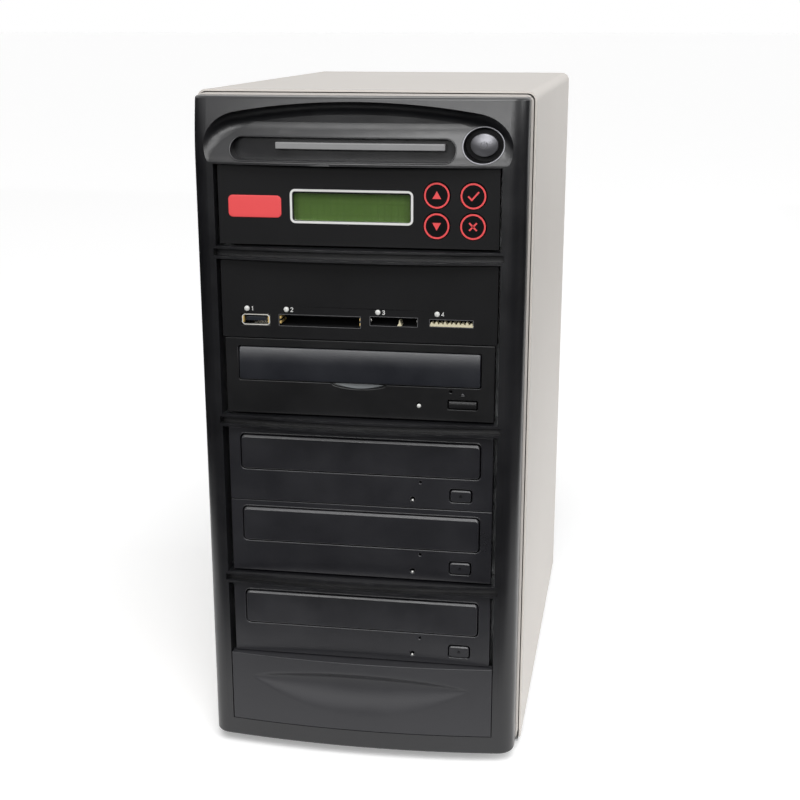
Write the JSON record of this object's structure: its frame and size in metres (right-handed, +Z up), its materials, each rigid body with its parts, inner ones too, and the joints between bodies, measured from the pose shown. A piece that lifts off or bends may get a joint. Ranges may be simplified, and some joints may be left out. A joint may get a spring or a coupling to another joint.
{
  "type": "disc duplicator tower",
  "caption": "Upright steel case with a bowed black front that copies optical discs: stacked drives with sliding trays, a card reader and a keypad with a display.",
  "frame": {"origin": "middle of the footprint, on the surface that the feet stand on", "axes": "+Z up, front towards -Y, +X to the right of someone facing the front"},
  "size_m": [0.182, 0.323, 0.375],
  "materials": {
    "case_paint": "light warm grey, fine satin paint",
    "galvanised_steel": "zinc-coated sheet",
    "black_abs": "fine-grained black moulding",
    "panel_black": "matt black panel",
    "source_face": "smooth satin black",
    "writer_face": "charcoal moulding",
    "key_plastic": "smooth black",
    "display_pane": "tinted clear pane",
    "display_body": "dark green reflective display",
    "light_guide": "grey translucent",
    "lamp_lens": "white diffusing lens",
    "circuit_board": "green laminate",
    "socket_plastic": "black moulding",
    "socket_steel": "plated shell",
    "tray_plastic": "black moulding",
    "gear_plastic": "white acetal",
    "hub_plastic": "dark moulding",
    "deck_plastic": "dark moulding",
    "fan_plastic": "black moulding",
    "rubber": "black rubber",
    "screw_steel": "nickel-plated",
    "lead_sheath": "black sleeve",
    "switch_plastic": "black rocker"
  },
  "bodies": {
    "case": {"cover": "case_paint", "base_pan": "galvanised_steel", "front_frame": "case_paint", "drive_cage": "galvanised_steel", "feet": "rubber", "screws": "screw_steel", "front_bezel": "black_abs", "light_bar": "light_guide", "power_switch": "socket_plastic", "control_panel": "panel_black", "lcd_window": "display_pane", "lcd_module": "display_body", "circuit_boards": "circuit_board", "reader_panel": "panel_black", "status_leds": "lamp_lens", "usb_socket": "socket_steel", "card_sockets": "socket_plastic", "blank_cover": "black_abs", "loader_decks": "deck_plastic", "exhaust_fan_frame": "fan_plastic", "psu_case": "galvanised_steel", "mains_inlet": "socket_plastic", "rear_panel": "galvanised_steel", "wiring_loom": "lead_sheath", "source_bezel": "source_face", "source_case": "galvanised_steel", "writer_1_bezel": "writer_face", "writer_1_case": "galvanised_steel", "writer_2_bezel": "writer_face", "writer_2_case": "galvanised_steel", "writer_3_bezel": "writer_face", "writer_3_case": "galvanised_steel"},
    "power_button": {"power_button": "key_plastic"},
    "up_key": {"up_key": "key_plastic"},
    "enter_key": {"enter_key": "key_plastic"},
    "down_key": {"down_key": "key_plastic"},
    "escape_key": {"escape_key": "key_plastic"},
    "source_disc_tray": {"source_tray": "tray_plastic", "source_tray_front": "source_face"},
    "source_gear": {"source_loading_gear": "gear_plastic"},
    "source_turntable": {"source_spindle": "hub_plastic"},
    "source_eject": {"source_eject_button": "source_face"},
    "writer_1_disc_tray": {"writer_1_tray": "tray_plastic", "writer_1_tray_front": "writer_face"},
    "writer_1_gear": {"writer_1_loading_gear": "gear_plastic"},
    "writer_1_turntable": {"writer_1_spindle": "hub_plastic"},
    "writer_1_eject": {"writer_1_eject_button": "writer_face"},
    "writer_2_disc_tray": {"writer_2_tray": "tray_plastic", "writer_2_tray_front": "writer_face"},
    "writer_2_gear": {"writer_2_loading_gear": "gear_plastic"},
    "writer_2_turntable": {"writer_2_spindle": "hub_plastic"},
    "writer_2_eject": {"writer_2_eject_button": "writer_face"},
    "writer_3_disc_tray": {"writer_3_tray": "tray_plastic", "writer_3_tray_front": "writer_face"},
    "writer_3_gear": {"writer_3_loading_gear": "gear_plastic"},
    "writer_3_turntable": {"writer_3_spindle": "hub_plastic"},
    "writer_3_eject": {"writer_3_eject_button": "writer_face"},
    "exhaust_rotor": {"exhaust_fan_rotor": "fan_plastic"},
    "supply_rotor": {"psu_fan_rotor": "fan_plastic"},
    "mains_rocker": {"rocker_switch": "switch_plastic"}
  },
  "joints": [
    {"name": "power_press", "type": "slide", "parent": "case", "child": "power_button", "axis": [0, 1, 0], "range_m": [0, 0.002], "stiffness_N_per_m": 750},
    {"name": "up_press", "type": "slide", "parent": "case", "child": "up_key", "axis": [0, 1, 0], "range_m": [0, 0.0006], "stiffness_N_per_m": 2500},
    {"name": "enter_press", "type": "slide", "parent": "case", "child": "enter_key", "axis": [0, 1, 0], "range_m": [0, 0.0006], "stiffness_N_per_m": 2500},
    {"name": "down_press", "type": "slide", "parent": "case", "child": "down_key", "axis": [0, 1, 0], "range_m": [0, 0.0006], "stiffness_N_per_m": 2500},
    {"name": "escape_press", "type": "slide", "parent": "case", "child": "escape_key", "axis": [0, 1, 0], "range_m": [0, 0.0006], "stiffness_N_per_m": 2500},
    {"name": "source_tray_slide", "type": "slide", "parent": "case", "child": "source_disc_tray", "axis": [0, -1, 0], "range_m": [0, 0.138]},
    {"name": "source_gear_spin", "type": "hinge", "parent": "case", "child": "source_gear", "pos_m": [0.034, -0.1331, 0.2248], "axis": [0, 0, 1], "continuous": true},
    {"name": "source_disc_spin", "type": "hinge", "parent": "case", "child": "source_turntable", "pos_m": [0, -0.0833, 0.2228], "axis": [0, 0, 1], "continuous": true},
    {"name": "source_eject_press", "type": "slide", "parent": "case", "child": "source_eject", "axis": [0, 1, 0], "range_m": [0, 0.001], "stiffness_N_per_m": 1500},
    {"name": "writer_1_tray_slide", "type": "slide", "parent": "case", "child": "writer_1_disc_tray", "axis": [0, -1, 0], "range_m": [0, 0.138]},
    {"name": "writer_1_gear_spin", "type": "hinge", "parent": "case", "child": "writer_1_gear", "pos_m": [0.034, -0.1331, 0.1743], "axis": [0, 0, 1], "continuous": true},
    {"name": "writer_1_disc_spin", "type": "hinge", "parent": "case", "child": "writer_1_turntable", "pos_m": [0, -0.0833, 0.1723], "axis": [0, 0, 1], "continuous": true},
    {"name": "writer_1_eject_press", "type": "slide", "parent": "case", "child": "writer_1_eject", "axis": [0, 1, 0], "range_m": [0, 0.001], "stiffness_N_per_m": 1500},
    {"name": "writer_2_tray_slide", "type": "slide", "parent": "case", "child": "writer_2_disc_tray", "axis": [0, -1, 0], "range_m": [0, 0.138]},
    {"name": "writer_2_gear_spin", "type": "hinge", "parent": "case", "child": "writer_2_gear", "pos_m": [0.034, -0.1331, 0.1319], "axis": [0, 0, 1], "continuous": true},
    {"name": "writer_2_disc_spin", "type": "hinge", "parent": "case", "child": "writer_2_turntable", "pos_m": [0, -0.0833, 0.1299], "axis": [0, 0, 1], "continuous": true},
    {"name": "writer_2_eject_press", "type": "slide", "parent": "case", "child": "writer_2_eject", "axis": [0, 1, 0], "range_m": [0, 0.001], "stiffness_N_per_m": 1500},
    {"name": "writer_3_tray_slide", "type": "slide", "parent": "case", "child": "writer_3_disc_tray", "axis": [0, -1, 0], "range_m": [0, 0.138]},
    {"name": "writer_3_gear_spin", "type": "hinge", "parent": "case", "child": "writer_3_gear", "pos_m": [0.034, -0.1331, 0.0814], "axis": [0, 0, 1], "continuous": true},
    {"name": "writer_3_disc_spin", "type": "hinge", "parent": "case", "child": "writer_3_turntable", "pos_m": [0, -0.0833, 0.0794], "axis": [0, 0, 1], "continuous": true},
    {"name": "writer_3_eject_press", "type": "slide", "parent": "case", "child": "writer_3_eject", "axis": [0, 1, 0], "range_m": [0, 0.001], "stiffness_N_per_m": 1500},
    {"name": "exhaust_fan_spin", "type": "hinge", "parent": "case", "child": "exhaust_rotor", "pos_m": [0, 0.1444, 0.15], "axis": [0, 1, 0], "continuous": true},
    {"name": "supply_fan_spin", "type": "hinge", "parent": "case", "child": "supply_rotor", "pos_m": [-0.032, 0.1424, 0.3285], "axis": [0, 1, 0], "continuous": true},
    {"name": "rocker_tilt", "type": "hinge", "parent": "case", "child": "mains_rocker", "pos_m": [0.046, 0.1531, 0.3285], "axis": [0, 0, 1], "range_deg": [-20, 0]}
  ],
  "couplings": [
    {"joint": "source_gear_spin", "follows": "source_tray_slide", "rad_per_m": -83.333},
    {"joint": "writer_1_gear_spin", "follows": "writer_1_tray_slide", "rad_per_m": -83.333},
    {"joint": "writer_2_gear_spin", "follows": "writer_2_tray_slide", "rad_per_m": -83.333},
    {"joint": "writer_3_gear_spin", "follows": "writer_3_tray_slide", "rad_per_m": -83.333}
  ]
}
